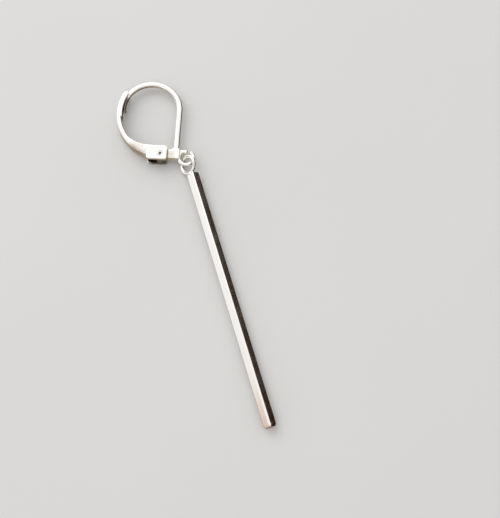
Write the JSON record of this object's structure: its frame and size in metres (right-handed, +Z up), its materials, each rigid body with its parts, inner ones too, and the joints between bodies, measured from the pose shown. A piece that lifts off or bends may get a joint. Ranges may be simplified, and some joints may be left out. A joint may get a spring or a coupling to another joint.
{
  "type": "bar earring",
  "caption": "Drop earring with a hinged leverback ear wire and a slim square bar soldered to a ring, lying flat",
  "frame": {"origin": "middle of the bounding box in plan, on the surface that the earring lies on", "axes": "+Z up from that surface, +Y along the bar towards the ear wire, +X to the right seen from above"},
  "size_m": [0.0117, 0.0636, 0.0027],
  "materials": {
    "polished_silver": "polished silver with fine wear",
    "pin_silver": "riveted silver wire, dimpled end",
    "bar_silver": "satin silver, fine file and orange-peel grain"
  },
  "bodies": {
    "root": {"ear_hook": "polished_silver", "hinge_pin": "pin_silver", "bar_drop": "bar_silver"},
    "lever": {"lever": "polished_silver"}
  },
  "joints": [
    {"name": "lever_hinge", "type": "hinge", "parent": "root", "child": "lever", "pos_m": [-0.00028, 0.01759, 0.0012], "axis": [0, 0, 1], "range_deg": [0, 80]}
  ]
}
